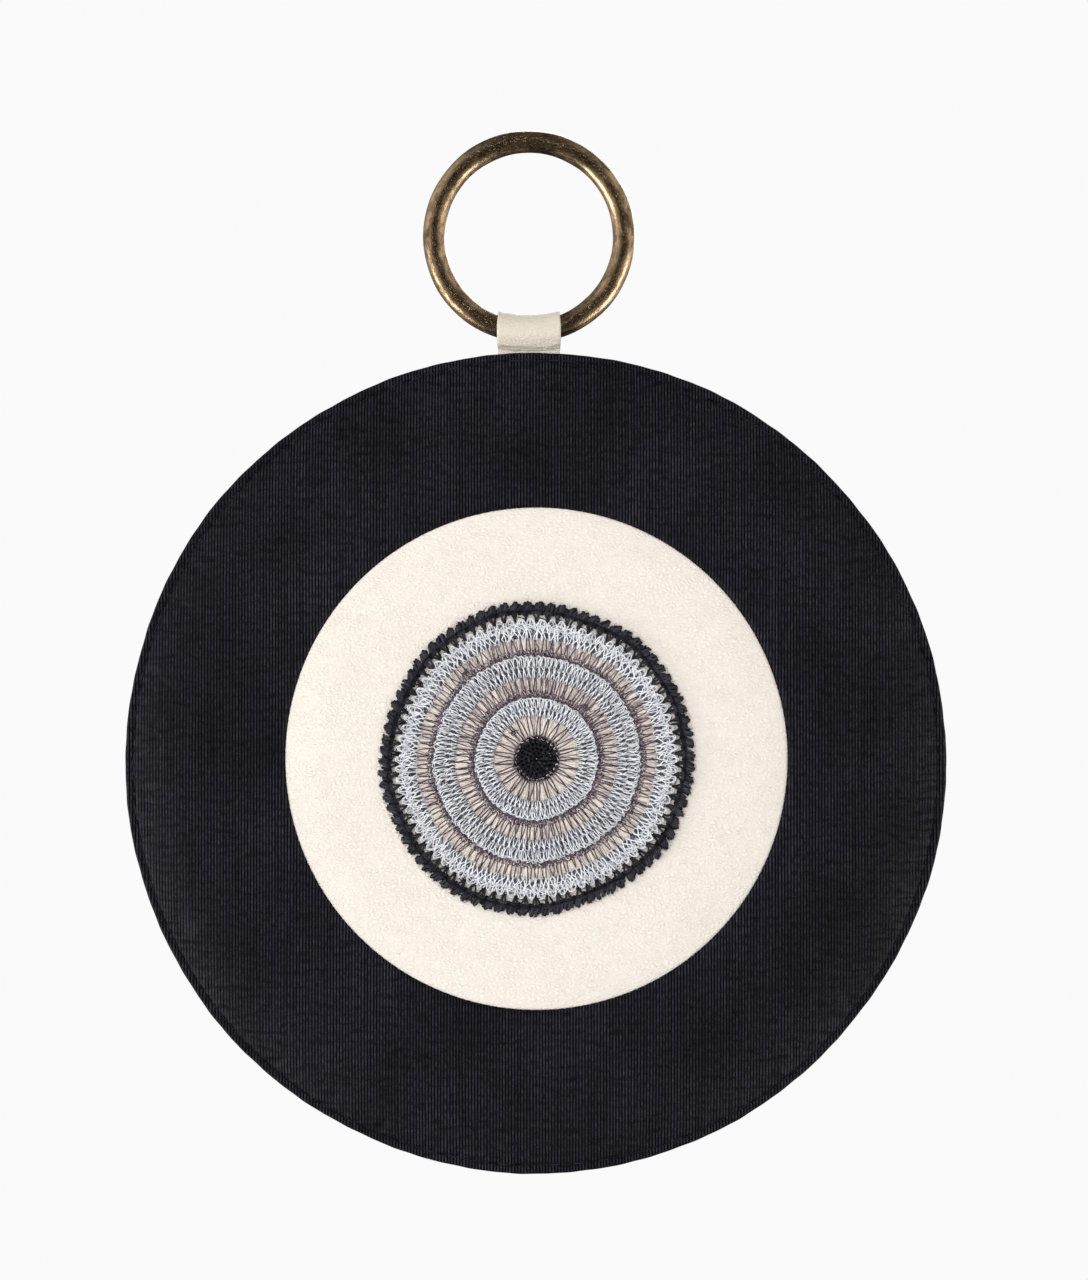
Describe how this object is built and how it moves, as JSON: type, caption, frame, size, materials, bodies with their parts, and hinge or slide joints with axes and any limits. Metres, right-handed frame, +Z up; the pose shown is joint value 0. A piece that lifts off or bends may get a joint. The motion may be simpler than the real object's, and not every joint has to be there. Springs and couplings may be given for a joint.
{
  "type": "evil eye ornament",
  "caption": "Round padded wall ornament with a leather iris and a crocheted eye, hung from a metal ring by a leather tab.",
  "frame": {"origin": "where a hook bears on the inside of the ring's top, in the middle of the wire's thickness", "axes": "+Z up along the hanging line, +Y out of the back, so the eye looks along -Y"},
  "size_m": [0.25, 0.0118, 0.3174],
  "materials": {
    "antique_brass": "satin",
    "cream_leather": "satin",
    "iris_leather": "satin",
    "black_faille": "satin",
    "interlining": "matte",
    "wadding": "matte",
    "grey_board": "matte",
    "black_thread": "satin",
    "black_cotton": "matte",
    "mauve_lurex": "satin",
    "silver_cord": "satin"
  },
  "bodies": {
    "ring": {"hang_ring": "antique_brass"},
    "tab": {"tab_loop": "cream_leather"},
    "disc": {"tab_tail": "cream_leather", "front_panel": "black_faille", "back_panel": "black_faille", "panel_interlining": "interlining", "wadding": "wadding", "stiffener_board": "grey_board", "topstitch_needle_thread": "black_thread", "topstitch_bobbin_thread": "black_thread", "iris_disc": "iris_leather", "iris_seam_thread": "black_thread", "pupil_rosette": "black_cotton", "lace_round_inner": "mauve_lurex", "silver_round_inner": "silver_cord", "lace_round_middle": "mauve_lurex", "silver_round_middle": "silver_cord", "lace_round_outer": "mauve_lurex", "silver_round_outer": "silver_cord", "picot_edging": "black_cotton", "doily_tacking_thread": "black_thread"}
  },
  "joints": [
    {"name": "ring_spin", "type": "hinge", "parent": "ring", "child": "tab", "pos_m": [0, 0, -0.0255], "axis": [0, 1, 0], "continuous": true},
    {"name": "tab_fold", "type": "hinge", "parent": "tab", "child": "disc", "pos_m": [0, 0, -0.0599], "axis": [1, 0, 0], "range_deg": [-75, 75]}
  ]
}
